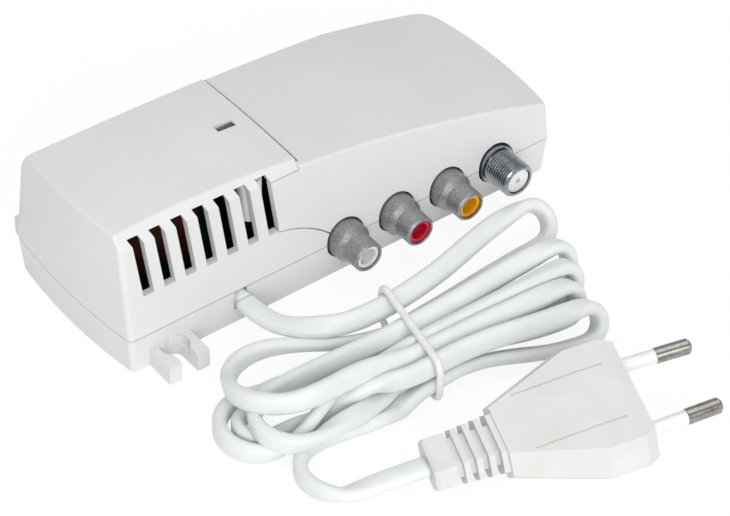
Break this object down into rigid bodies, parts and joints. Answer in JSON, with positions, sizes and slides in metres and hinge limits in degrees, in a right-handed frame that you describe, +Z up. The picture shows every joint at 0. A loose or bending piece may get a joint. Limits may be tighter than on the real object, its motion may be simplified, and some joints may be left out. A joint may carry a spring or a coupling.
{
  "type": "tv modulator",
  "caption": "White plastic radio-frequency modulator with a domed stepped cover, vent slots, phono sockets, a threaded aerial socket and a tied flat mains cord with a two-pin plug.",
  "frame": {"origin": "middle of the housing's underside, at the height of the surface it stands on", "axes": "+X along the housing, away from the vented end; connectors face -Y; +Z up"},
  "size_m": [0.1351, 0.1632, 0.0408],
  "materials": {
    "housing_plastic": "satin white injection-moulded ABS",
    "clear_lens": "clear moulded acrylic",
    "led_epoxy": "tinted clear epoxy",
    "black_plastic": "black moulded plastic",
    "zinc_steel": "bright zinc plating",
    "circuit_laminate": "green solder resist on glass-epoxy laminate",
    "core_steel": "varnished stacked laminations",
    "coil_tape": "dark red-brown polyester tape over the windings",
    "capacitor_sleeve": "shrunk dark sleeve",
    "tinned_steel": "tinned sheet",
    "fuse_glass": "clear glass with metal caps",
    "die_cast_zinc": "bare sand-blasted zinc die casting",
    "nickelled_barrel": "bright nickel plating on a turned barrel",
    "white_plastic": "glossy white",
    "red_plastic": "glossy red",
    "yellow_plastic": "glossy yellow",
    "plated_contact": "bright nickel plating",
    "cord_pvc": "soft white extruded PVC",
    "plug_pvc": "moulded white PVC",
    "switch_blue": "blue moulded plastic"
  },
  "bodies": {
    "housing": {"base_tray": "housing_plastic", "power_cover": "housing_plastic", "access_lid": "housing_plastic", "led_window": "clear_lens", "led_lamp": "led_epoxy", "led_holder": "black_plastic", "case_screws": "zinc_steel", "board_screws": "zinc_steel", "main_board": "circuit_laminate", "transformer_core": "core_steel", "transformer_coil": "coil_tape", "reservoir_capacitor": "capacitor_sleeve", "smoothing_capacitors": "capacitor_sleeve", "bridge_rectifier": "black_plastic", "voltage_regulator": "black_plastic", "mains_fuse": "fuse_glass", "tuner_screen": "tinned_steel", "channel_switch_body": "switch_blue", "level_trimmer_body": "switch_blue", "balance_trimmer_body": "switch_blue", "white_jack_shell": "die_cast_zinc", "white_jack_insulator": "white_plastic", "white_jack_contact": "plated_contact", "red_jack_shell": "die_cast_zinc", "red_jack_insulator": "red_plastic", "red_jack_contact": "plated_contact", "yellow_jack_shell": "die_cast_zinc", "yellow_jack_insulator": "yellow_plastic", "yellow_jack_contact": "plated_contact", "aerial_shell_threaded": "nickelled_barrel", "aerial_insulator": "white_plastic", "aerial_contact": "plated_contact", "plug_body": "plug_pvc", "plug_pin_left": "plated_contact", "plug_pin_right": "plated_contact", "pin_sleeve_left": "white_plastic", "pin_sleeve_right": "white_plastic", "cord_entry": "cord_pvc", "cord_clamp": "black_plastic", "cord_lead": "cord_pvc", "cord_hank": "cord_pvc", "cord_tail": "cord_pvc", "hank_tie": "white_plastic"},
    "channel_slider_1": {"channel_slider_1": "white_plastic"},
    "channel_slider_2": {"channel_slider_2": "white_plastic"},
    "channel_slider_3": {"channel_slider_3": "white_plastic"},
    "channel_slider_4": {"channel_slider_4": "white_plastic"},
    "channel_slider_5": {"channel_slider_5": "white_plastic"},
    "channel_slider_6": {"channel_slider_6": "white_plastic"},
    "level_trimmer_rotor": {"level_trimmer_rotor": "plated_contact"},
    "balance_trimmer_rotor": {"balance_trimmer_rotor": "plated_contact"}
  },
  "joints": [
    {"name": "channel_slider_1_slide", "type": "slide", "parent": "housing", "child": "channel_slider_1", "axis": [0, 1, 0], "range_m": [0, 0.0018]},
    {"name": "channel_slider_2_slide", "type": "slide", "parent": "housing", "child": "channel_slider_2", "axis": [0, 1, 0], "range_m": [0, 0.0018]},
    {"name": "channel_slider_3_slide", "type": "slide", "parent": "housing", "child": "channel_slider_3", "axis": [0, 1, 0], "range_m": [0, 0.0018]},
    {"name": "channel_slider_4_slide", "type": "slide", "parent": "housing", "child": "channel_slider_4", "axis": [0, 1, 0], "range_m": [0, 0.0018]},
    {"name": "channel_slider_5_slide", "type": "slide", "parent": "housing", "child": "channel_slider_5", "axis": [0, 1, 0], "range_m": [0, 0.0018]},
    {"name": "channel_slider_6_slide", "type": "slide", "parent": "housing", "child": "channel_slider_6", "axis": [0, 1, 0], "range_m": [0, 0.0018]},
    {"name": "level_trimmer_turn", "type": "hinge", "parent": "housing", "child": "level_trimmer_rotor", "pos_m": [0.0395, 0.012, 0.008], "axis": [0, 0, 1], "range_deg": [-135, 135]},
    {"name": "balance_trimmer_turn", "type": "hinge", "parent": "housing", "child": "balance_trimmer_rotor", "pos_m": [0.0485, 0.012, 0.008], "axis": [0, 0, 1], "range_deg": [-135, 135]}
  ]
}
